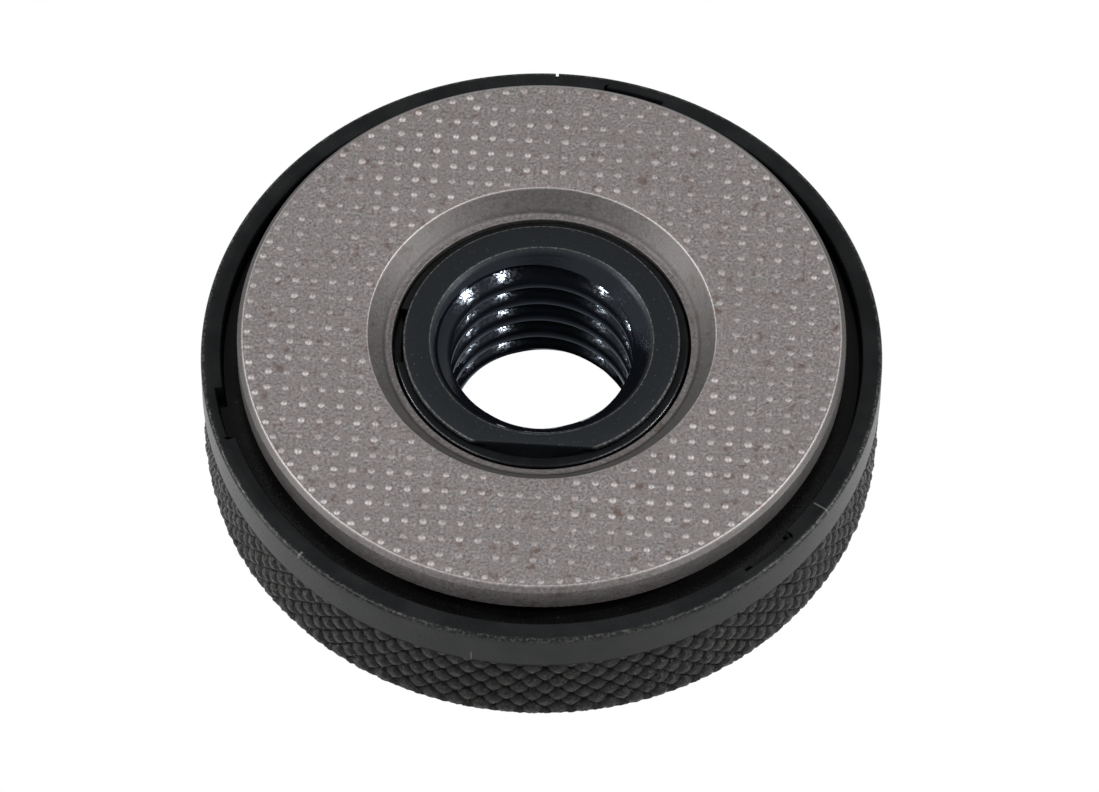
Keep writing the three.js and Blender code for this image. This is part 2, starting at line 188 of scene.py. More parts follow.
def polar(radius, degrees):
    angle = math.radians(degrees)
    return radius * math.cos(angle), radius * math.sin(angle)


def fillet(corners, steps=3):
    """The [radius, height, fillet, flat] corners with each fillet turned into a short curve.

    A fillet of 0 keeps the corner. The flat, which is optional, is carried through.
    """
    points = []
    count = len(corners)
    for i, corner in enumerate(corners):
        here = Vector(corner[:2])
        size = corner[2] if len(corner) > 2 else 0
        flat = corner[3] if len(corner) > 3 else None
        if not size:
            points.append((here.x, here.y, flat))
            continue
        before = (Vector(corners[i - 1][:2]) - here).normalized()
        after = (Vector(corners[(i + 1) % count][:2]) - here).normalized()
        start, end = here + before * size, here + after * size
        for step in range(steps + 1):
            t = step / steps
            place = start * (1 - t) ** 2 + here * 2 * t * (1 - t) + end * t * t
            points.append((place.x, place.y, flat))
    return points


def flat_corners(radius, flat):
    """The two angles at which a circle meets the flat that faces -Y."""
    half = math.degrees(math.acos(flat / radius))
    return [270 - half, 270 + half]


def even_angles(count=COLUMNS, start=0.0):
    return [start + 360 * i / count for i in range(count)]


def within_flat(radius, flat, degrees):
    """A radius cut back to the flat that faces -Y."""
    if flat is None:
        return radius
    lean = math.cos(math.radians(degrees - 270))
    return radius if lean <= 0 else min(radius, flat / lean)


class Skin:
    """The vertices and faces of one closed piece."""

    def __init__(self):
        self.places = []
        self.faces = []
        self.angles = []

    def vertex(self, x, y, z, angle=0.0):
        self.places.append((x, y, z))
        self.angles.append(angle)
        return len(self.places) - 1

    def circle(self, radius, height, angles, flat=None):
        """A loop of vertices round the axis, and the vertices' numbers."""
        loop = []
        for degrees in angles:
            x, y = polar(within_flat(radius, flat, degrees), degrees)
            loop.append(self.vertex(x, y, height, degrees))
        return loop

    def outline(self, points, height):
        """A loop through (x, y) points at one height."""
        return [self.vertex(x, y, height) for x, y in points]

    def band(self, lower, upper):
        """Quads between two loops with the same number of vertices."""
        count = len(lower)
        for i in range(count):
            j = (i + 1) % count
            self.faces.append((lower[i], lower[j], upper[j], upper[i]))

    def zip(self, lower, upper):
        """Faces between two loops whose vertices lie at different angles."""
        a = [(self.angles[v], v) for v in lower] + [(self.angles[lower[0]] + 360, lower[0])]
        b = [(self.angles[v], v) for v in upper] + [(self.angles[upper[0]] + 360, upper[0])]
        self.stitch(a, b)

    def stitch(self, a, b, near=1e-6):
        """Faces between two chains of (place along the chain, vertex)."""
        i = j = 0
        while i < len(a) - 1 or j < len(b) - 1:
            step_a = a[i + 1][0] if i < len(a) - 1 else math.inf
            step_b = b[j + 1][0] if j < len(b) - 1 else math.inf
            if abs(step_a - step_b) < near:
                self.faces.append((a[i][1], a[i + 1][1], b[j + 1][1], b[j][1]))
                i += 1
                j += 1
            elif step_a < step_b:
                self.faces.append((a[i][1], a[i + 1][1], b[j][1]))
                i += 1
            else:
                self.faces.append((a[i][1], b[j + 1][1], b[j][1]))
                j += 1

    def bands(self, loops):
        """Quads from each loop to the next."""
        for lower, upper in zip(loops, loops[1:]):
            self.band(lower, upper)

    def turn(self, profile, angles, closed=True):
        """The faces that a profile sweeps round the axis, and its loops in order."""
        loops = [self.circle(r, z, angles, flat) for r, z, flat in profile]
        self.bands(loops + loops[:1] if closed else loops)
        return loops

    def rod(self, sections):
        """The skin of a bent rod through a row of loops, with flat ends."""
        self.bands(sections)
        self.faces.append(tuple(reversed(sections[0])))
        self.faces.append(tuple(sections[-1]))

    def face(self, outer, holes=(), extra=(), up=True):
        """A flat face between an outer loop and its holes, through the extra vertices."""
        loops = [outer, *holes]
        numbers = [v for loop in loops for v in loop] + list(extra)
        where = {v: i for i, v in enumerate(numbers)}
        edges = [(where[v], where[loop[k - 1]]) for loop in loops for k, v in enumerate(loop)]
        points = [Vector(self.places[v][:2]) for v in numbers]
        result = delaunay_2d_cdt(points, edges, [], 0, 1e-7)
        origin = [numbers[source[0]] for source in result[3]]
        outline, *openings = [[self.places[v][:2] for v in loop] for loop in loops]
        members = [set(loop) for loop in loops]
        for triangle in result[2]:
            corners = [origin[i] for i in triangle]
            # Only a triangle with all its corners on one loop can lie outside the face.
            if any(set(corners) <= member for member in members):
                x, y = (sum(self.places[v][axis] for v in corners) / 3 for axis in (0, 1))
                if not inside(outline, x, y) or any(inside(ring, x, y) for ring in openings):
                    continue
            self.faces.append(tuple(corners) if up else tuple(reversed(corners)))

    def wall(self, outline, bottom, top, outward=True):
        """An upright wall through (x, y) points, and its lower and upper loops."""
        low, high = self.outline(outline, bottom), self.outline(outline, top)
        self.bands([low, high] if outward else [high, low])
        return low, high

    def slab(self, outline, hole, bottom, top, pockets=(), pocket_top=0.0):
        """A plate with one hole, and with blind pockets in its underside."""
        outer_low, outer_high = self.wall(outline, bottom, top)
        inner_low, inner_high = self.wall(hole, bottom, top, outward=False)
        mouths = []
        for points in pockets:
            mouth, ceiling = self.wall(points, bottom, pocket_top, outward=False)
            self.face(ceiling, up=False)
            mouths.append(mouth)
        self.face(outer_high, [inner_high])
        self.face(outer_low, [inner_low, *mouths], up=False)

    def blind_hole(self, face_z, floor_z, x, y, radius, chamfer, columns=48):
        """A round blind hole in a flat face, and the loop at its mouth."""
        inward = 1 if floor_z > face_z else -1
        rows = [
            (radius + chamfer, face_z),
            (radius, face_z + inward * chamfer),
            (radius, floor_z - inward * chamfer),
            (radius - chamfer, floor_z),
        ]
        loops = []
        for ring_r, z in rows:
            spots = [polar(ring_r, a) for a in even_angles(columns)]
            loops.append([self.vertex(x + dx, y + dy, z) for dx, dy in spots])
        self.bands(loops[::-1] if inward > 0 else loops)
        floor = loops[-1]
        self.faces.append(tuple(reversed(floor)) if inward > 0 else tuple(floor))
        return loops[0]

    def finish(self, name, material, centre=(0, 0, 0), turn_deg=0.0, sharp=SHARP_DEG):
        """The piece as a Blender object, smooth-shaded with its sharp edges kept."""
        build = bmesh.new()
        spots = [build.verts.new(place) for place in self.places]
        build.verts.ensure_lookup_table()
        for face in self.faces:
            if len(set(face)) < 3:
                continue
            try:
                build.faces.new([spots[v] for v in face])
            except ValueError:
                pass
        bmesh.ops.remove_doubles(build, verts=build.verts, dist=MERGE)
        bmesh.ops.dissolve_degenerate(build, edges=build.edges, dist=MERGE / 10)
        loose = [v for v in build.verts if not v.link_faces]
        bmesh.ops.delete(build, geom=loose, context="VERTS")
        place = Matrix.Translation(Vector(centre)) @ Matrix.Rotation(math.radians(turn_deg), 4, "Z")
        build.transform(Matrix.Scale(MM, 4) @ place)
        open_edges = sum(1 for e in build.edges if len(e.link_faces) != 2)
        if open_edges:
            print(f"{name}: {open_edges} edges are not shared by two faces")
        mesh = bpy.data.meshes.new(name)
        build.to_mesh(mesh)
        build.free()
        mesh.materials.append(material)
        mesh.shade_smooth()
        mesh.set_sharp_from_angle(angle=math.radians(sharp))
        return place_in_scene(name, mesh)


def inside(ring, x, y):
    """Whether a point lies inside a closed outline."""
    crossings = 0
    for (x0, y0), (x1, y1) in zip(ring, ring[1:] + ring[:1]):
        if (y0 > y) != (y1 > y) and x < x0 + (x1 - x0) * (y - y0) / (y1 - y0):
            crossings += 1
    return crossings % 2 == 1


def rounded_section(inner_r, outer_r, bottom, top, soft, steps=3):
    """A rectangle with rounded corners, as a profile."""
    corners = [(inner_r, bottom), (outer_r, bottom), (outer_r, top), (inner_r, top)]
    return fillet([(r, z, soft) for r, z in corners], steps)


def arc(from_deg, to_deg, steps, from_r, to_r=None):
    """Points on a circle about the axis, or along a spiral if the radius changes."""
    to_r = from_r if to_r is None else to_r
    shares = [i / steps for i in range(steps + 1)]
    return [
        polar(from_r + (to_r - from_r) * s, from_deg + (to_deg - from_deg) * s) for s in shares
    ]


def arc_about(centre, radius, from_deg, to_deg):
    """Points on a circle about another centre."""
    return [(centre[0] + x, centre[1] + y) for x, y in arc(from_deg, to_deg, 24, radius)]


def place_in_scene(name, data):
    thing = bpy.data.objects.new(name, data)
    bpy.context.scene.collection.objects.link(thing)
    return thing


def dress(thing, body, slot, *nodes):
    """The piece rides on its body, and the CAD nodes it stands in for are hidden. The slot is not
    used.
    """
    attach(thing, body)
    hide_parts(*nodes)
    return thing


# ---- Materials ----


class Graph:
    """A node tree, with short names for the nodes that the materials and the room share."""

    def __init__(self, tree):
        self.nodes = tree.nodes
        self.links = tree.links

    def feed(self, socket, value):
        if isinstance(value, bpy.types.NodeSocket):
            self.links.new(value, socket)
        else:
            socket.default_value = value

    def math(self, operation, a, b=None):
        node = self.nodes.new("ShaderNodeMath")
        node.operation = operation
        self.feed(node.inputs[0], a)
        if b is not None:
            self.feed(node.inputs[1], b)
        return node.outputs[0]

    def times(self, a, b):
        return self.math("MULTIPLY", a, b)

    def ramp(self, value, low, high, to_low=0.0, to_high=1.0):
        """A value carried smoothly from one range to another, and held at its ends."""
        node = self.nodes.new("ShaderNodeMapRange")
        node.interpolation_type = "SMOOTHSTEP"
        self.feed(node.inputs["Value"], value)
        for name, number in zip(("From Min", "From Max"), (low, high)):
            node.inputs[name].default_value = number
        for name, number in zip(("To Min", "To Max"), (to_low, to_high)):
            node.inputs[name].default_value = number
        return node.outputs[0]


class Shader(Graph):
    """A node material, with short names for the nodes used here. Lengths are in millimetres."""

    def __init__(self, name):
        self.material = bpy.data.materials.new(name)
        self.material.use_nodes = True
        super().__init__(self.material.node_tree)
        self.principled = self.nodes["Principled BSDF"]
        self.place = self.nodes.new("ShaderNodeTexCoord").outputs["Object"]
        split = self.nodes.new("ShaderNodeSeparateXYZ")
        self.links.new(self.place, split.inputs[0])
        self.x, self.y, self.z = (self.times(out, 1 / MM) for out in split.outputs)
        square = self.math("ADD", self.math("POWER", self.x, 2), self.math("POWER", self.y, 2))
        self.radius = self.math("SQRT", square)
        turn = self.math("ARCTAN2", self.y, self.x)
        self.degrees = self.math("MODULO", self.math("ADD", self.math("DEGREES", turn), 360), 360)

    def upward(self):
        """The height part of the surface normal, 1 on a face that looks straight up."""
        split = self.nodes.new("ShaderNodeSeparateXYZ")
        normal = self.nodes.new("ShaderNodeNewGeometry").outputs["Normal"]
        self.links.new(normal, split.inputs[0])
        return split.outputs[2]

    def noise(self, size, detail=3.0, stretch=(1, 1, 1), roughness=0.5):
        """Noise with features of about the given size."""
        mapping = self.nodes.new("ShaderNodeMapping")
        self.links.new(self.place, mapping.inputs["Vector"])
        mapping.inputs["Scale"].default_value = [s / (size * MM) for s in stretch]
        node = self.nodes.new("ShaderNodeTexNoise")
        self.links.new(mapping.outputs[0], node.inputs["Vector"])
        node.inputs["Scale"].default_value = 1
        node.inputs["Detail"].default_value = detail
        node.inputs["Roughness"].default_value = roughness
        return node.outputs["Fac"]

    def within(self, value, low, high, soft):
        """1 inside a range and 0 outside it, with soft edges."""
        rise = self.ramp(value, low - soft, low + soft)
        fall = self.ramp(value, high - soft, high + soft, 1, 0)
        return self.times(rise, fall)

    def mix(self, share, a, b, blend="MIX"):
        node = self.nodes.new("ShaderNodeMix")
        node.data_type = "RGBA"
        node.blend_type = blend
        self.feed(node.inputs[0], share)
        for socket, colour in ((node.inputs[6], a), (node.inputs[7], b)):
            self.feed(socket, colour if isinstance(colour, bpy.types.NodeSocket) else (*colour, 1))
        return node.outputs[2]

    def bump(self, height, depth, previous=None):
        """A bump whose full height is depth millimetres."""
        node = self.nodes.new("ShaderNodeBump")
        node.inputs["Strength"].default_value = 1
        node.inputs["Distance"].default_value = depth * MM
        self.links.new(height, node.inputs["Height"])
        if previous is not None:
            self.links.new(previous, node.inputs["Normal"])
        return node.outputs[0]

    def set(self, colour, roughness, metallic, normal=None, specular=0.5):
        self.feed(self.principled.inputs["Base Color"], colour)
        self.feed(self.principled.inputs["Roughness"], roughness)
        self.feed(self.principled.inputs["Metallic"], metallic)
        self.feed(self.principled.inputs["Specular IOR Level"], specular)
        if normal is not None:
            self.links.new(normal, self.principled.inputs["Normal"])
        return self.material


def ground_steel():
    """The pressure disc: a dull, faintly brown grey with fine grain and a few rust stains."""
    s = Shader("ground_steel")
    grain = s.noise(0.2, 4, roughness=0.7)
    cloud = s.noise(2.6, 4)
    stain = s.noise(1.1, 6, roughness=0.65)
    tone = s.noise(0.45, 3, roughness=0.6)
    colour = s.mix(s.ramp(grain, 0.3, 0.7), (0.165, 0.151, 0.151), (0.435, 0.408, 0.408))
    colour = s.mix(s.ramp(tone, 0.35, 0.65, 0, 0.5), colour, (0.30, 0.25, 0.243))
    colour = s.mix(s.ramp(cloud, 0.35, 0.65, 0, 0.22), colour, (0.24, 0.22, 0.215))
    colour = s.mix(s.ramp(stain, 0.56, 0.69, 0, 0.7), colour, (0.15, 0.095, 0.07))
    # Lighter on the dots' tops: painted highlight, with some wear.
    tip_wear_and_highlight = s.ramp(s.z, HEIGHT + 0.2 * DOT_HEIGHT, HEIGHT + 0.65 * DOT_HEIGHT, 0, 0.28)
    colour = s.mix(tip_wear_and_highlight, colour, (0.6, 0.57, 0.56))
    # The turned faces are painted darker: partly their own smoother finish, partly painted shade in
    # the recess and on the outer side.
    up = s.upward()
    cone = s.ramp(up, 0.85, 1.0, 0.74, 0.4)
    side = s.ramp(up, 0.2, 0.6, 0.38, 0.55)
    # Painted shade: the outer side darker still towards the left and right.
    side = s.math("ADD", side, s.ramp(s.math("ABSOLUTE", s.x), 6, 17, 0, 0.3))
    outside = s.ramp(s.radius, RECESS_R + 1, RECESS_R + 2)
    low = s.ramp(s.z, HEIGHT - 0.12, HEIGHT - 0.02, 1, 0)
    turned = s.math("ADD", s.times(cone, s.math("SUBTRACT", 1, outside)),
                    s.times(side, outside))
    turned = s.times(turned, low)
    colour = s.mix(turned, colour, (0.07, 0.068, 0.066))
    # Painted shade in the crease at the foot of the recess.
    crease_shade = s.within(s.radius, RECESS_FLOOR_R - 0.05, RECESS_FLOOR_R + 0.15, 0.1)
    colour = s.mix(s.times(crease_shade, 0.6), colour, (0.03, 0.03, 0.03))
    # Painted highlight along the top edges of the chamfer and the recess.
    lip = s.times(s.within(up, 0.75, 0.97, 0.03), s.ramp(s.z, HEIGHT - 0.2, HEIGHT - 0.1))
    colour = s.mix(s.times(lip, 0.25), colour, (0.62, 0.59, 0.58))
    dull = s.ramp(s.z, HEIGHT, HEIGHT + 0.3 * DOT_HEIGHT, 0, 0.1)
    roughness = s.math("ADD", dull, s.ramp(grain, 0.3, 0.7, 0.42, 0.58))
    normal = s.bump(grain, 0.025)
    return s.set(colour, roughness, 0.75, normal)


def black_oxide(name, tint, roughness, specular):
    """Blued steel: nearly black, a little uneven, with a fine satin grain."""
    s = Shader(name)
    grain = s.noise(0.07, 3)
    cloud = s.noise(3.0, 3)
    specks = s.noise(0.22, 4, roughness=0.6)
    light = tuple(1.7 * c for c in tint)
    colour = s.mix(s.ramp(cloud, 0.35, 0.65), tint, light)
    colour = s.mix(s.ramp(specks, 0.66, 0.76, 0, 0.5), colour, (0.16, 0.16, 0.16))
    rough = s.ramp(grain, 0.3, 0.7, roughness - 0.07, roughness + 0.07)
    return s.set(colour, rough, 0.55, s.bump(grain, 0.008), specular)


def knurled_black():
    """The knurled ring: blued steel, dusty in the knurl, with a few small wear marks."""
    s = Shader("knurled_black")
    grain = s.noise(0.07, 3)
    cloud = s.noise(2.2, 4)
    specks = s.noise(0.2, 4, roughness=0.65)
    colour = s.mix(s.ramp(cloud, 0.3, 0.7), (0.010, 0.011, 0.0115), (0.016, 0.017, 0.0175))
    in_knurl = s.ramp(s.z, KNURL_TOP, KNURL_TOP + 0.15, 1, 0)
    depth = s.ramp(s.radius, OUTER_R - KNURL_DEPTH, OUTER_R - 0.15, 1, 0)
    # Painted shade in the knurl's pits.
    pit_shade = s.times(depth, s.within(s.z, 0.3, KNURL_TOP, 0.1))
    blotch = s.noise(0.3, 2, roughness=0.6)
    patchy = s.mix(s.ramp(blotch, 0.35, 0.65), (0.006, 0.006, 0.006), (0.02, 0.0195, 0.018))
    colour = s.mix(s.times(in_knurl, 0.8), colour, patchy)
    colour = s.mix(s.times(pit_shade, 0.75), colour, (0.004, 0.004, 0.004))
    # A lighter, broken line round the rim's bevel: wear, and a painted highlight.
    bevel = s.times(s.ramp(s.radius, OUTER_R - 0.3, OUTER_R - 0.2),
                    s.ramp(s.z, RIM_TOP - 0.3, RIM_TOP - 0.2))
    worn = s.times(bevel, s.ramp(specks, 0.46, 0.64, 0, 0.6))
    colour = s.mix(worn, colour, (0.11, 0.107, 0.10))
    dust = s.times(s.ramp(specks, 0.58, 0.72, 0, 0.6), in_knurl)
    colour = s.mix(dust, colour, (0.12, 0.115, 0.105))
    marks = None
    for centre, width, r_low, r_high, z_low, z_high in (
        (330, 0.12, 21.6, OUTER_R, RIM_TOP - 0.4, RIM_TOP + 1),
        (229, 0.2, 22.3, OUTER_R, RIM_TOP - 0.35, RIM_TOP + 1),
        (262, 0.08, 22.3, OUTER_R + 1, KNURL_TOP + 0.1, KNURL_TOP + 1.0),
    ):
        here = s.within(s.degrees, centre - width, centre + width, width / 2)
        here = s.times(here, s.within(s.radius, r_low, r_high + 0.5, 0.05))
        here = s.times(here, s.within(s.z, z_low, z_high, 0.05))
        marks = here if marks is None else s.math("MAXIMUM", marks, here)
    colour = s.mix(s.times(marks, 0.2), colour, (0.6, 0.6, 0.58))
    rough = s.ramp(grain, 0.3, 0.7, 0.2, 0.3)
    height = s.math("ADD", s.times(grain, 0.2), s.times(specks, in_knurl))
    shine = s.math("ADD", 0.17, s.times(in_knurl, 0.11))
    shine = s.math("SUBTRACT", shine, s.times(pit_shade, 0.26))
    return s.set(colour, rough, 0.2, s.bump(height, 0.07), shine)


def thread_black():
    """The hub: blued steel, oily and mirror-like inside the thread, where painted shade darkens its
    colour.
    """
    s = Shader("hub_black")
    grain = s.noise(0.08, 3)
    chatter = s.noise(0.3, 1, stretch=(1, 1, 2.5))
    specks = s.noise(0.2, 4, roughness=0.65)
    in_bore = s.ramp(s.radius, FRONT_SINK_R - 0.4, FRONT_SINK_R - 0.1, 1, 0)
    # Darker inside the bore: painted shade.
    colour = s.mix(in_bore, (0.013, 0.0145, 0.016), (0.006, 0.007, 0.010))
    light = s.ramp(specks, 0.62, 0.74, 0, 0.6)
    colour = s.mix(s.times(light, s.math("SUBTRACT", 1, in_bore)), colour, (0.2, 0.2, 0.2))
    # Lighter, broken lines on the boss's outer edge and the countersink's edge: edge wear, and a
    # painted highlight.
    edges = s.math("MAXIMUM", s.within(s.radius, BOSS_R - 0.13, BOSS_R + 0.1, 0.03),
                   s.within(s.radius, FRONT_SINK_R - 0.04, FRONT_SINK_R + 0.04, 0.02))
    edges = s.times(edges, s.ramp(s.z, BOSS_TOP - 0.17, BOSS_TOP - 0.12))
    edges = s.times(edges, s.ramp(specks, 0.38, 0.62, 0.1, 0.8))
    colour = s.mix(edges, colour, (0.15, 0.145, 0.14))
    dry = s.ramp(grain, 0.3, 0.7, 0.36, 0.5)
    oily = s.ramp(chatter, 0.35, 0.65, 0.06, 0.14)
    rough = s.nodes.new("ShaderNodeMix")
    s.feed(rough.inputs[0], in_bore)
    s.feed(rough.inputs[2], dry)
    s.feed(rough.inputs[3], oily)
    shine = s.ramp(s.radius, THREAD_MINOR_R + 0.1, THREAD_MINOR_R + 0.35, 0.02, 0.7)
    waves = s.times(chatter, s.ramp(s.radius, THREAD_MAJOR_R, THREAD_MAJOR_R + 0.15, 1, 0))
    shine = s.times(shine, s.ramp(s.radius, FRONT_SINK_R - 0.1, FRONT_SINK_R + 0.1, 1, 0.7))
    s.principled.inputs["Specular Tint"].default_value = (0.78, 0.88, 1, 1)
    return s.set(colour, rough.outputs[0], 0.4, s.bump(waves, 0.006), shine)


def bright_steel(name, tint, roughness, brushed=1.0):
    """Bare steel with fine turning marks round the axis and a trace of oil."""
    s = Shader(name)
    rings = s.noise(0.05, 2, stretch=(brushed, brushed, 1))
    cloud = s.noise(1.8, 4)
    dark = tuple(0.75 * c for c in tint)
    colour = s.mix(s.ramp(cloud, 0.35, 0.65), tint, dark)
    rough = s.ramp(rings, 0.3, 0.7, roughness - 0.06, roughness + 0.08)
    return s.set(colour, rough, 1.0, s.bump(rings, 0.004))


def bronze():
    s = Shader("bronze")
    grain = s.noise(0.12, 3)
    tarnish = s.noise(1.5, 5, roughness=0.6)
    colour = s.mix(s.ramp(tarnish, 0.4, 0.7), (0.56, 0.31, 0.12), (0.25, 0.13, 0.06))
    rough = s.ramp(grain, 0.3, 0.7, 0.32, 0.5)
    return s.set(colour, rough, 1.0, s.bump(grain, 0.01))


def rubber():
    s = Shader("nitrile_rubber")
    grain = s.noise(0.15, 4)
    dust = s.noise(0.9, 5, roughness=0.6)
    colour = s.mix(s.ramp(dust, 0.5, 0.75, 0, 0.5), (0.012, 0.012, 0.012), (0.07, 0.065, 0.06))
    rough = s.ramp(grain, 0.3, 0.7, 0.6, 0.85)
    return s.set(colour, rough, 0.0, s.bump(grain, 0.02))


# ---- Pressure disc ----


def dot_places():
    """The square lattice of dots on the clamping face, and the round row at its edge."""
    rows = range(-16, 16)
    lattice = [((i + 0.5) * DOT_PITCH, (j + 0.5) * DOT_PITCH) for i in rows for j in rows]
    inner, outer = RECESS_R + DOT_R + 0.15, DOT_ROW_R - 2.5 * DOT_R
    kept = [(x, y) for x, y in lattice if inner < math.hypot(x, y) < outer]
    edge = [polar(DOT_ROW_R, 360 * i / DOT_ROW_COUNT) for i in range(DOT_ROW_COUNT)]
    return kept + edge


def add_dots(skin):
    """The vertices of the low domes on the clamping face."""
    shape = [(0.0, 1.0), (0.35, 0.88), (0.65, 0.55), (0.9, 0.2), (1.1, 0.03), (1.2, 0.0)]
    draw = random.Random(11)
    extra = []
    for x, y in dot_places():
        wear = 0.8 + 0.2 * math.sin(0.23 * x + 0.17 * y + 0.9)
        height = DOT_HEIGHT * wear * draw.uniform(0.5, 1.0)
        room = DISC_R - DISC_CHAMFER - 0.05 - math.hypot(x, y)
        radius = min(DOT_R * draw.uniform(0.8, 1.05), room / shape[-1][0])
        for share, rise in shape:
            steps = 1 if share == 0 else 12
            for k in range(steps):
                dx, dy = polar(radius * share, 360 * k / steps + 7)
                extra.append(skin.vertex(x + dx, y + dy, HEIGHT + height * rise))
    return extra


def pressure_disc(material):
    slope = DISC_TRAVEL / BALL_TRAVEL
    cone_r = SKIRT_R + (DISC_EDGE_BOTTOM - DISC_LOW.z) / slope
    bore, flat = BOSS_R + SLIDE_GAP, BOSS_FLAT + SLIDE_GAP
    corners = [
        (RECESS_R, HEIGHT, 0.07),
        (RECESS_FLOOR_R, RECESS_FLOOR, 0.3),
        (SEAT_R, RECESS_FLOOR, 0.08),
        (SEAT_R, SPRING_SEAT, 0),
        (bore, SPRING_SEAT, 0, flat),
        (bore, DISC_LOW.z, 0, flat),
        (SKIRT_R, DISC_LOW.z, 0.15),
        (cone_r, DISC_EDGE_BOTTOM, 0.3),
        (DISC_R, DISC_EDGE_BOTTOM, 0.08),
        (DISC_R, HEIGHT - DISC_CHAMFER, 0.04),
        (DISC_R - DISC_CHAMFER, HEIGHT, 0.04),
    ]
    angles = sorted(even_angles() + flat_corners(bore, flat))
    skin = Skin()
    loops = skin.turn(fillet(corners), angles, closed=False)
    skin.face(loops[-1], [loops[0]], add_dots(skin))
    return dress(skin.finish("clamping_disc", material), "disc", "ground_steel", "pressure_disc")


# ---- Knurled ring ----


def knurl_height(across, up):
    """The height of a rolled diamond knurl, 0 in its pits and 1 on its worn crests.

    Across and up count the knurl's periods round the ring and along it. The grooves are deepest
    where they cross, and the wear differs from diamond to diamond.
    """
    first, second = across + up, across - up
    one = min(1.0, abs(first - round(first)) * 2 / FLAT_CREST)
    other = min(1.0, abs(second - round(second)) * 2 / FLAT_CREST)
    height = 0.65 * (one + other) / 2 + 0.35 * min(one, other)
    diamond = (math.floor(first) * 37 + math.floor(second) * 101) % KNURL_LINES
    worn = 0.88 + 0.12 * math.sin(diamond * 2.399)
    return height * worn


def rim_angles():
    """Columns round the rim, with close pairs at the walls of the nick."""
    walls = [MARK_DEG + side * step * MARK_HALF_DEG for side in (-1, 1) for step in (1.0, 1.25)]
    plain = [a for a in even_angles(start=0.75) if abs(a - MARK_DEG) > 2 * MARK_HALF_DEG]
    return sorted(plain + walls + [MARK_DEG])


def mark_floor(degrees, height):
    """A rim height, lowered inside the nick."""
    inside_mark = abs(degrees - MARK_DEG) < 1.1 * MARK_HALF_DEG
    return min(height, RIM_TOP - MARK_DEPTH) if inside_mark else height


def notched_circle(skin, radius, height, from_deg, to_deg):
    """A loop that steps out by the notches' depth in each of the three notches."""
    loop = []
    for third in THIRDS:
        middle = NOTCH_FIRST_DEG + third
        start, end = middle + from_deg, middle + to_deg
        for r, first, last, steps in (
            (radius + NOTCH_DEPTH, start, end, 8),
            (radius, end, start + 120, 72),
        ):
            for k in range(steps + 1):
                degrees = first + (last - first) * k / steps
                loop.append(skin.vertex(*polar(r, degrees), height, degrees - NOTCH_FIRST_DEG + 10))
    return loop


def notched_wall(skin, radius, rows, from_deg, to_deg):
    """The wall through a notched circle for each (added radius, height) row, and its loops."""
    loops = [notched_circle(skin, radius + added, z, from_deg, to_deg) for added, z in rows]
    skin.bands(loops)
    return loops


def turned_to(skin, loop):
    """The loop's vertices, started at the notched loops' own start and measured from there."""
    start = NOTCH_FIRST_DEG - 10
    for v in loop:
        skin.angles[v] = (skin.angles[v] - start) % 360
    return sorted(loop, key=lambda v: skin.angles[v])


def knurl_rows(skin):
    """The knurl's loops of vertices, from the back edge up. The chamfer cuts its crests off."""
    draw = random.Random(5)
    rows, columns = KNURL_PERIODS * KNURL_FINE, KNURL_LINES * KNURL_FINE
    grid = []
    for row in range(rows + 1):
        z = KNURL_TOP * row / rows
        loop = []
        for column in range(columns):
            depth = 1 - knurl_height(column / KNURL_FINE, row / KNURL_FINE)
            cut = KNURL_DEPTH * depth * min(1, z / KNURL_RUN_OUT)
            radius = min(OUTER_R - cut, OUTER_R - BACK_CHAMFER + z) - KNURL_ROUGH * draw.random()
            degrees = 360 * column / columns
            loop.append(skin.vertex(*polar(radius, degrees), z, degrees))
        grid.append(loop)
    return grid


def cover_knurl(skin, grid):
    """Two triangles for each square, split along the diagonal that is nearer to the knurl."""
    for row, (lower, upper) in enumerate(zip(grid, grid[1:])):
        for column, a in enumerate(lower):
            following = (column + 1) % len(lower)
            b, c, d = lower[following], upper[following], upper[column]
            depth = 1 - knurl_height((column + 0.5) / KNURL_FINE, (row + 0.5) / KNURL_FINE)
            target = OUTER_R - KNURL_DEPTH * depth * min(1, skin.places[a][2] / KNURL_RUN_OUT)
            radii = [math.hypot(*skin.places[v][:2]) for v in (a, b, c, d)]
            if abs((radii[0] + radii[2]) / 2 - target) <= abs((radii[1] + radii[3]) / 2 - target):
                skin.faces += [(a, b, c), (a, c, d)]
            else:
                skin.faces += [(a, b, d), (b, c, d)]


def smooth_band(skin):
    """The smooth band and the rim with its nick, and the lowest and innermost loops."""
    angles = rim_angles()
    loops = [skin.circle(OUTER_R, KNURL_TOP + rise, angles) for rise in (0.07, 0.14)]
    nick_r = OUTER_R - MARK_DEPTH
    edge = fillet([(OUTER_R, 0), (OUTER_R, RIM_TOP, RIM_BEVEL), (nick_r, RIM_TOP)], 5)[1:-1]
    rows = [(OUTER_R, RIM_TOP - MARK_DEPTH), *[(r, z) for r, z, _ in edge], (nick_r, RIM_TOP)]
    for radius, height in rows:
        spots = [(*polar(radius, a), mark_floor(a, height), a) for a in angles]
        loops.append([skin.vertex(*spot) for spot in spots])
    loops.append(skin.circle(nick_r, RIM_TOP, angles))
    skin.bands(loops)
    return loops[0], loops[-1]


def bore_and_back(skin, step_z):
    """The bore, the lip with its seal groove and the back, as loops."""
    groove_low, groove_high = SEAL_LOW.z - SEAL_PLAY, SEAL_HIGH.z + SEAL_PLAY
    corners = [
        (RING_BORE_R, step_z, 0.1),
        (RING_BORE_R, LIP_TOP, 0),
        (RING_LIP_R, LIP_TOP, 0.06),
        (RING_LIP_R, groove_high, 0),
        (SEAL_GROOVE_R, groove_high, 0),
        (SEAL_GROOVE_R, groove_low, 0),
        (RING_LIP_R, groove_low, 0),
        (RING_LIP_R, 0, 0.15),
        (OUTER_R - 1.2, 0, 0),
    ]
    return skin.turn(fillet(corners), even_angles(), closed=False)


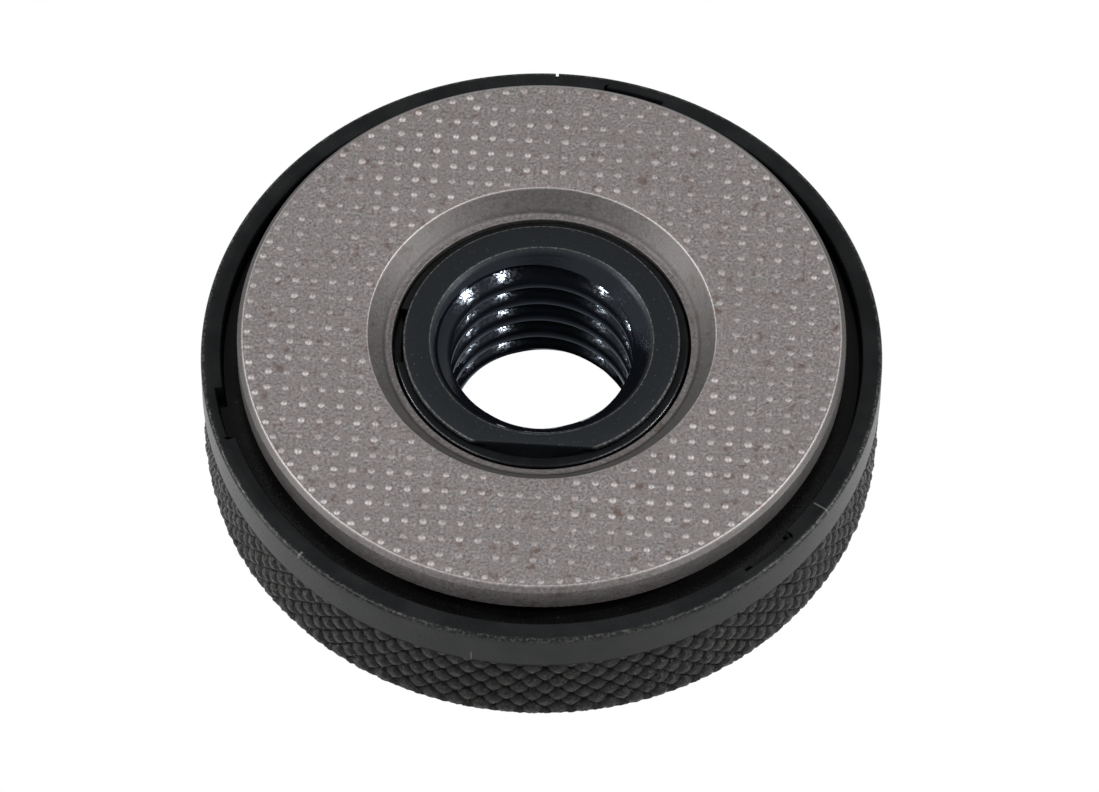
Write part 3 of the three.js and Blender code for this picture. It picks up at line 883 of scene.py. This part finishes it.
def knurled_ring(material):
    skin = Skin()
    grid = knurl_rows(skin)
    cover_knurl(skin, grid)
    shoulder, rim = smooth_band(skin)
    half, step_z = NOTCH_WIDTH_DEG / 2, COVER_LOW.z - PRESS_GAP
    rows = [(NOTCH_SOFT, RIM_TOP), (0, RIM_TOP - NOTCH_SOFT), (0, step_z)]
    notched = notched_wall(skin, RIM_INNER_R, rows, -half, half)
    inner = bore_and_back(skin, step_z)
    skin.zip(grid[-1], shoulder)
    skin.zip(turned_to(skin, rim), notched[0])
    skin.zip(notched[-1], turned_to(skin, inner[0]))
    skin.zip(inner[-1], grid[0])
    thing = skin.finish("grip_ring", material, sharp=40)
    return dress(thing, "ring", "black_oxide_steel", "knurled_ring")


# ---- Threaded hub ----


def thread_rows():
    """One pitch of the internal thread as (share of the pitch, radius), with soft corners."""
    root_half = THREAD_PITCH / 16
    slope = math.tan(math.radians(30))
    crest_half = root_half + (THREAD_MAJOR_R - THREAD_MINOR_R) * slope
    soft = 0.05
    half = [
        (root_half, THREAD_MAJOR_R),
        (root_half + soft, THREAD_MAJOR_R - soft / slope),
        (crest_half - soft, THREAD_MINOR_R + soft / slope),
        (crest_half, THREAD_MINOR_R + soft / 2),
        (crest_half + soft, THREAD_MINOR_R),
        (THREAD_PITCH / 2, THREAD_MINOR_R),
    ]
    lower = [(-z, r) for z, r in half[:-1]]
    return sorted((z / THREAD_PITCH, r) for z, r in lower + half)


def threaded_bore(skin, columns=180):
    """The thread from the back face to the boss's face, and its two end loops."""
    rows = thread_rows()

    def countersink(z):
        return max(BACK_SINK_R - z, FRONT_SINK_R - (BOSS_TOP - z), THREAD_MINOR_R)

    chains, ends = [], ([], [])
    for column in range(columns):
        lead = column / columns
        chain = []
        for turn in range(-2, 8):
            for share, radius in rows:
                place = turn + share
                z = THREAD_START + (place + lead) * THREAD_PITCH
                if 0.02 < z < BOSS_TOP - 0.02:
                    chain.append((place, max(radius, countersink(z)), z))
        first = (-THREAD_START / THREAD_PITCH - lead, BACK_SINK_R, 0.0)
        last = ((BOSS_TOP - THREAD_START) / THREAD_PITCH - lead, FRONT_SINK_R, BOSS_TOP)
        made = []
        for place, radius, z in [first, *chain, last]:
            x, y = polar(radius, 360 * lead)
            made.append((place, skin.vertex(x, y, z, 360 * lead)))
        chains.append(made)
        ends[0].append(made[0][1])
        ends[1].append(made[-1][1])
    for column, chain in enumerate(chains):
        if column + 1 < columns:
            following = chains[column + 1]
        else:
            following = [(place - 1, v) for place, v in chains[0]]
        skin.stitch(following, chain)
    return ends


def threaded_hub(material):
    skin = Skin()
    bottom, top = threaded_bore(skin)
    groove_low, groove_high = SNAP_LOW.z - SNAP_PLAY, SNAP_HIGH.z + SNAP_PLAY
    soft = 0.14
    outside = [
        (HUB_BACK_R, 0, 0.35),
        (HUB_BACK_R, FLANGE_BOTTOM, 0),
        (HUB_FLANGE_R, FLANGE_BOTTOM, 0.1),
        (HUB_FLANGE_R, FLANGE_TOP, 0.1),
    ]
    boss = [
        (BOSS_R, FLANGE_TOP, 0),
        (BOSS_R, FLAT_BOTTOM, 0),
        (BOSS_R, FLAT_BOTTOM, 0, BOSS_FLAT),
        (BOSS_R, groove_low, 0, BOSS_FLAT),
        (SNAP_SEAT_R, groove_low, 0, BOSS_FLAT),
        (SNAP_SEAT_R, groove_high, 0, BOSS_FLAT),
        (BOSS_R, groove_high, 0, BOSS_FLAT),
        (BOSS_R, BOSS_TOP - soft, 0, BOSS_FLAT),
        (BOSS_R - 0.3 * soft, BOSS_TOP - 0.3 * soft, 0, BOSS_FLAT - 0.3 * soft),
        (BOSS_R - soft, BOSS_TOP, 0, BOSS_FLAT - soft),
    ]
    outer = fillet([(HUB_BACK_R - 1, 0), *outside, (HUB_FLANGE_R - 1, FLANGE_TOP)])[1:-1]
    lower_loops = skin.turn(outer, even_angles(), closed=False)
    angles = even_angles() + flat_corners(BOSS_R, BOSS_FLAT) + flat_corners(SNAP_SEAT_R, BOSS_FLAT)
    upper_loops = skin.turn(fillet(boss), sorted(angles), closed=False)
    skin.zip(upper_loops[-1], top)
    pins = [polar(STOP_RING_R, third) for third in THIRDS]
    pin_r = (PIN_HIGH.x - PIN_LOW.x) / 2 + PRESS_GAP
    mouths = [
        skin.blind_hole(FLANGE_TOP, PIN_LOW.z - PRESS_GAP, x, y, pin_r, 0.05, 24) for x, y in pins
    ]
    skin.face(lower_loops[-1], [upper_loops[0], *mouths])
    spanner = [
        skin.blind_hole(0, SPANNER_DEPTH, side * SPANNER_PCD / 2, 0, SPANNER_HOLE_R, 0.15)
        for side in (-1, 1)
    ]
    skin.face(lower_loops[0], [bottom, *spanner], up=False)
    return dress(skin.finish("spindle_hub", material), "hub", "black_oxide_steel", "threaded_hub")


# ---- Rings, washers and the seal ----


def plain_ring(name, material, inner_r, outer_r, bottom, top, soft):
    skin = Skin()
    skin.turn(rounded_section(inner_r, outer_r, bottom, top, soft), even_angles())
    return skin.finish(name, material)


def hub_race(material):
    sizes = RACE_INNER_R, RACE_HIGH.x, RACE_LOW.z, RACE_HIGH.z, 0.1
    return dress(plain_ring("ball_race", material, *sizes), "hub", "hardened_steel", "hub_race")


def thrust_washer(material):
    sizes = RING_LIP_R - SLIDE_GAP, THRUST_HIGH.x, THRUST_LOW.z, THRUST_HIGH.z, 0.08
    return dress(plain_ring("bearing_washer", material, *sizes), "ring", "bronze", "thrust_washer")


def back_seal(material):
    section_r = (SEAL_HIGH.z - SEAL_LOW.z) / 2
    centre_r, centre_z = SEAL_HIGH.x - section_r, SEAL_LOW.z + section_r
    ring = [polar(section_r, 360 * i / 16) for i in range(16)]
    skin = Skin()
    skin.turn([(centre_r + r, centre_z + z, None) for r, z in ring], even_angles())
    return dress(skin.finish("dust_seal", material), "ring", "nitrile_rubber", "back_seal")


def cover_washer(material):
    skin = Skin()
    bottom, top, soft = COVER_LOW.z, COVER_HIGH.z, 0.06
    rows = [(0, bottom), (0, top - soft), (-soft, top)]
    outer = notched_wall(skin, RIM_INNER_R - 0.1, rows, TAB_FROM_DEG, TAB_TO_DEG)
    profile = [(COVER_INNER_R, top, None), (COVER_INNER_R, bottom, None)]
    inner = skin.turn(profile, even_angles(start=0.4), closed=False)
    skin.zip(outer[-1], turned_to(skin, inner[0]))
    skin.zip(turned_to(skin, inner[1]), outer[0])
    return dress(skin.finish("cover_plate", material), "ring", "black_oxide_steel", "cover_washer")


def snap_ring(material):
    """The open ring on the boss, with a rounded wire section."""
    inner_r = SNAP_SEAT_R + SNAP_PLAY
    section = rounded_section(inner_r, SNAP_HIGH.x, SNAP_LOW.z, SNAP_HIGH.z, 0.22, 4)
    skin = Skin()
    steps = 200
    sections = []
    for i in range(steps + 1):
        degrees = 180 + SNAP_GAP_DEG / 2 + (360 - SNAP_GAP_DEG) * i / steps
        sections.append([skin.vertex(*polar(r, degrees), z) for r, z, _ in section])
    skin.rod(sections[::-1])
    return dress(skin.finish("snap_ring", material), "hub", "spring_steel", "hub_snap_ring")


# ---- Cage, cam ring, pins and balls ----


def ball_angles():
    return [30 + 60 * i for i in range(6)]


def ball_cage(material):
    slot_r = BALL_R + 0.1
    outer_r = CAM_LAND_R - 0.25
    inner_r = BALL_RING_R - slot_r - 0.6
    half = math.degrees(math.asin(slot_r / outer_r))
    outline = []
    for degrees in ball_angles():
        cup = arc_about(polar(BALL_RING_R, degrees), slot_r, degrees + 90, degrees + 270)
        outline += cup[::-1] + arc(degrees + half, degrees + 60 - half, 10, outer_r)
    hole = [polar(inner_r, a) for a in even_angles(180)]
    skin = Skin()
    skin.slab(outline, hole, CAGE_LOW.z, CAGE_HIGH.z)
    thing = soften(skin.finish("ball_spacer", material), 0.12)
    return dress(thing, "hub", "bronze", "ball_cage")


def cam_ring(material):
    """The ring round the balls, with a spiral pocket for each ball and the stop slots below."""
    reach = BALL_R + 0.06
    free_r = BALL_RING_R + BALL_TRAVEL
    bore = []
    for degrees in ball_angles():
        free = degrees + RELEASE_DEG
        start = clear_of_land(polar(BALL_RING_R, degrees), reach, degrees - 90, degrees)
        end = clear_of_land(polar(free_r, free), reach, free, free + 90)
        wall = arc(degrees, free, 16, BALL_RING_R + reach, free_r + reach)
        land_from = math.degrees(math.atan2(end[-1][1], end[-1][0]))
        land_to = math.degrees(math.atan2(start[0][1], start[0][0])) + 60
        land_to += 360 * math.ceil((land_from - land_to) / 360)
        land = arc(land_from, land_to, 8, CAM_LAND_R)
        bore += start + wall[1:-1] + end + land[1:-1]
    outer = [polar(CAM_HIGH.x, a) for a in even_angles()]
    slots = [stop_slot(third) for third in THIRDS]
    skin = Skin()
    skin.slab(outer, bore, CAM_LOW.z, CAM_HIGH.z, slots, STOP_SLOT_TOP)
    thing = soften(skin.finish("cam_pocket_ring", material), 0.1)
    return dress(thing, "ring", "hardened_steel", "cam_ring")


def clear_of_land(centre, radius, from_deg, to_deg):
    """The part of a pocket's round end that lies outside the cam ring's bore."""
    points = arc_about(centre, radius, from_deg, to_deg)
    return [p for p in points if math.hypot(*p) > CAM_LAND_R + 0.02]


def stop_slot(degrees):
    pin_half = math.degrees(STOP_SLOT_HALF / STOP_RING_R)
    start = degrees - pin_half
    end = degrees + RELEASE_DEG + SPRING_SOLID_DEG + pin_half
    outside = arc(start, end, 30, STOP_RING_R + STOP_SLOT_HALF)
    return outside + arc(end, start, 30, STOP_RING_R - STOP_SLOT_HALF)


def soften(thing, width):
    """Rounds the sharp edges of a plate."""
    modifier = thing.modifiers.new("soft_edges", "BEVEL")
    modifier.width = width * MM
    modifier.segments = 2
    modifier.limit_method = "ANGLE"
    modifier.angle_limit = math.radians(50)
    modifier.harden_normals = True
    return thing


def stop_pins(material):
    radius = (PIN_HIGH.x - PIN_LOW.x) / 2
    corners = [(0, PIN_LOW.z), (radius, PIN_LOW.z, 0.12), (radius, PIN_HIGH.z, 0.3), (0, PIN_HIGH.z)]
    for i, third in enumerate(THIRDS):
        skin = Skin()
        skin.turn(fillet(corners, 5), even_angles(40), closed=False)
        thing = skin.finish(f"stop_dowel_{i + 1}", material, (*polar(STOP_RING_R, third), 0))
        dress(thing, "hub", "hardened_steel", f"stop_pin_{i + 1}")


def balls(material):
    for i, degrees in enumerate(ball_angles()):
        low, high = span(f"ball_{i + 1}")
        profile = [polar(BALL_R, a) for a in [-90 + 180 * k / 32 for k in range(33)]]
        skin = Skin()
        skin.turn([(max(r, 0), z, None) for r, z in profile], even_angles(64), closed=False)
        x, y = polar(BALL_RING_R, degrees)
        thing = skin.finish(f"bearing_ball_{i + 1}", material, (x, y, (low.z + high.z) / 2))
        dress(thing, f"ball_{i + 1}_body", "hardened_steel", f"ball_{i + 1}")


# ---- Springs ----


def dress_spring(thing, node):
    """The spring's shape is fixed where it stands, and its CAD node is hidden."""
    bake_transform(thing)
    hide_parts(node)


def return_springs(material):
    """Wire springs in the cam ring's slots. On the nut the knurled ring squeezes them as it turns;
    here they keep one shape.
    """
    wire_r, coil_r, turns, per_turn, sides = 0.15, 0.36, 10, 20, 8
    height = (CAM_LOW.z + STOP_SLOT_TOP) / 2
    pin_half = math.degrees(STOP_SLOT_HALF / STOP_RING_R)
    clear = 0.8
    near, far = pin_half + clear, pin_half + RELEASE_DEG + SPRING_SOLID_DEG - clear

    def centre_line(share, offset):
        degrees = near + (far - near) * share + offset
        x, y = polar(STOP_RING_R, degrees)
        return Vector((x, y, height)), degrees

    def wire_point(share, offset):
        middle, degrees = centre_line(share, offset)
        around = 2 * math.pi * turns * share
        out = Vector((*polar(1, degrees), 0))
        return middle + (out * math.cos(around) + Vector((0, 0, 1)) * math.sin(around)) * coil_r

    for i, offset in enumerate(THIRDS):
        skin = Skin()
        steps = turns * per_turn
        sections = []
        for step in range(steps + 1):
            share = step / steps
            here = wire_point(share, offset)
            ahead = wire_point(min(1, share + 0.001), offset) - wire_point(share - 0.001, offset)
            along = ahead.normalized()
            out = (here - centre_line(share, offset)[0]).normalized()
            side = along.cross(out).normalized()
            ring = []
            for k in range(sides):
                c, s = polar(wire_r, 360 * k / sides)
                ring.append(skin.vertex(*(here + out * c + side * s)))
            sections.append(ring)
        skin.rod(sections)
        thing = skin.finish(f"return_coil_{i + 1}", material)
        dress_spring(thing, f"return_spring_{i + 1}")


def wave_spring(material):
    """The waved washer that lifts the pressure disc against the snap ring."""
    waves, rise, thickness = 3, 0.2, 0.2
    middle = (WAVE_LOW.z + WAVE_HIGH.z) / 2
    half = thickness / 2
    section = rounded_section(BOSS_R + 0.1, SEAT_R - 0.1, -half, half, 0.05)
    skin = Skin()
    angles = even_angles()
    for r, z, _ in section:
        for degrees in angles:
            lift = rise * math.sin(waves * math.radians(degrees))
            skin.vertex(*polar(r, degrees), middle + z + lift)
    count = len(angles)
    rings = [list(range(k, k + count)) for k in range(0, len(skin.places), count)]
    skin.bands(rings + rings[:1])
    thing = skin.finish("wave_washer", material)
    dress_spring(thing, "wave_spring")


# ---- Stage, light and camera ----


def floor():
    """A plain sheet that glows evenly: white to the camera, a little dimmer in reflections.

    It has no underside, so that the back of the nut can be looked at from below.
    """
    s = Shader("pale_floor")
    s.set((0, 0, 0, 1), 1.0, 0.0, specular=0)
    seen = s.nodes.new("ShaderNodeLightPath").outputs["Is Camera Ray"]
    s.principled.inputs["Emission Color"].default_value = (1, 1, 1, 1)
    s.links.new(s.ramp(seen, 0, 1, 0.75, 1), s.principled.inputs["Emission Strength"])
    behind = s.nodes.new("ShaderNodeNewGeometry").outputs["Backfacing"]
    s.links.new(s.ramp(behind, 0, 1, 1, 0), s.principled.inputs["Alpha"])
    mesh = bpy.data.meshes.new("floor")
    half, drop = 3.0, 0.02 * MM
    corners = [(x, y, -drop) for x, y in ((-half, -half), (half, -half), (half, half), (-half, half))]
    mesh.from_pydata(corners, [], [(0, 1, 2, 3)])
    mesh.materials.append(s.material)
    place_in_scene("floor", mesh)


def direction(azimuth, elevation):
    level = math.radians(elevation)
    return Vector((*polar(math.cos(level), azimuth), math.sin(level)))


def soft_light(name, azimuth, elevation, size, watts):
    data = bpy.data.lights.new(name, "AREA")
    data.shape = "DISK"
    data.size = size
    data.energy = watts
    thing = place_in_scene(name, data)
    thing.location = direction(azimuth, elevation) * LAMP_DISTANCE
    thing.rotation_euler = (-thing.location).to_track_quat("-Z", "Y").to_euler()


def colours():
    """White stays white, as on a plain product picture."""
    bpy.context.scene.view_settings.view_transform = "Standard"


def studio():
    """A white room that is greyer high up behind and dark round the camera, with six lamps.

    The camera sees the room itself as plain white.
    """
    world = bpy.data.worlds.new("studio")
    bpy.context.scene.world = world
    world.use_nodes = True
    room = Graph(world.node_tree)
    coordinates = room.nodes.new("ShaderNodeTexCoord").outputs["Generated"]
    dimmed = []
    for towards, near, far, low in (
        (direction(93.5, 60), 0.95, 0.45, 0.2),
        (direction(273.5, 62), 0.97, 0.8, 0.04),
    ):
        dot = room.nodes.new("ShaderNodeVectorMath")
        dot.operation = "DOT_PRODUCT"
        dot.inputs[1].default_value = towards
        room.links.new(coordinates, dot.inputs[0])
        dimmed.append(room.ramp(dot.outputs["Value"], far, near, 0.58, low))
    seen = room.nodes.new("ShaderNodeLightPath").outputs["Is Camera Ray"]
    background = room.nodes["Background"]
    background.inputs["Color"].default_value = (1, 1, 1, 1)
    strength = room.math("MAXIMUM", room.math("MINIMUM", *dimmed), seen)
    room.links.new(strength, background.inputs["Strength"])
    for name, azimuth, elevation, size, watts in (
        ("right_light", 5, 45, 0.1, 7),
        ("right_front_light", -31, 56, 0.08, 3),
        ("left_light", 173, 40, 0.1, 6),
        ("left_front_light", 209, 55, 0.08, 3),
        ("right_low_light", -12, 10, 0.16, 4),
        ("left_low_light", 192, 10, 0.16, 4),
    ):
        soft_light(name, azimuth, elevation, size, watts)


def camera():
    """A long lens above the front, aimed a little below the middle of the clamping face."""
    azimuth, elevation, roll = 273.5, 56.86, 0.24
    distance, side_aim, down_aim = 609.74, 0.525, 4.27
    data = bpy.data.cameras.new("camera")
    data.lens = 300.9
    data.sensor_width = 36
    data.clip_start = 0.01
    thing = place_in_scene("camera", data)
    out = direction(azimuth, elevation)
    turn = out.to_track_quat("Z", "Y").to_matrix()
    turn = turn @ Matrix.Rotation(math.radians(roll), 3, "Z")
    right, up = turn.col[0], turn.col[1]
    middle = Vector((0, 0, HEIGHT)) + right * side_aim - up * down_aim
    thing.matrix_world = Matrix.Translation((middle + out * distance) * MM) @ turn.to_4x4()
    bpy.context.scene.camera = thing


# ---- The nut ----

steel = bright_steel("hardened_steel", (0.62, 0.62, 0.63), 0.22)
spring_wire = bright_steel("spring_steel", (0.045, 0.047, 0.05), 0.3)

pressure_disc(ground_steel())
knurled_ring(knurled_black())
threaded_hub(thread_black())
# The cover's tint is darker than the rim's: painted shade under the disc.
cover_washer(black_oxide("cover_black_shaded", (0.004, 0.004, 0.004), 0.3, 0.8))
snap_ring(spring_wire)
hub_race(steel)
ball_cage(bronze())
cam_ring(steel)
thrust_washer(bronze())
back_seal(rubber())
stop_pins(steel)
balls(steel)
return_springs(spring_wire)
wave_spring(spring_wire)

floor()
colours()
studio()
camera()
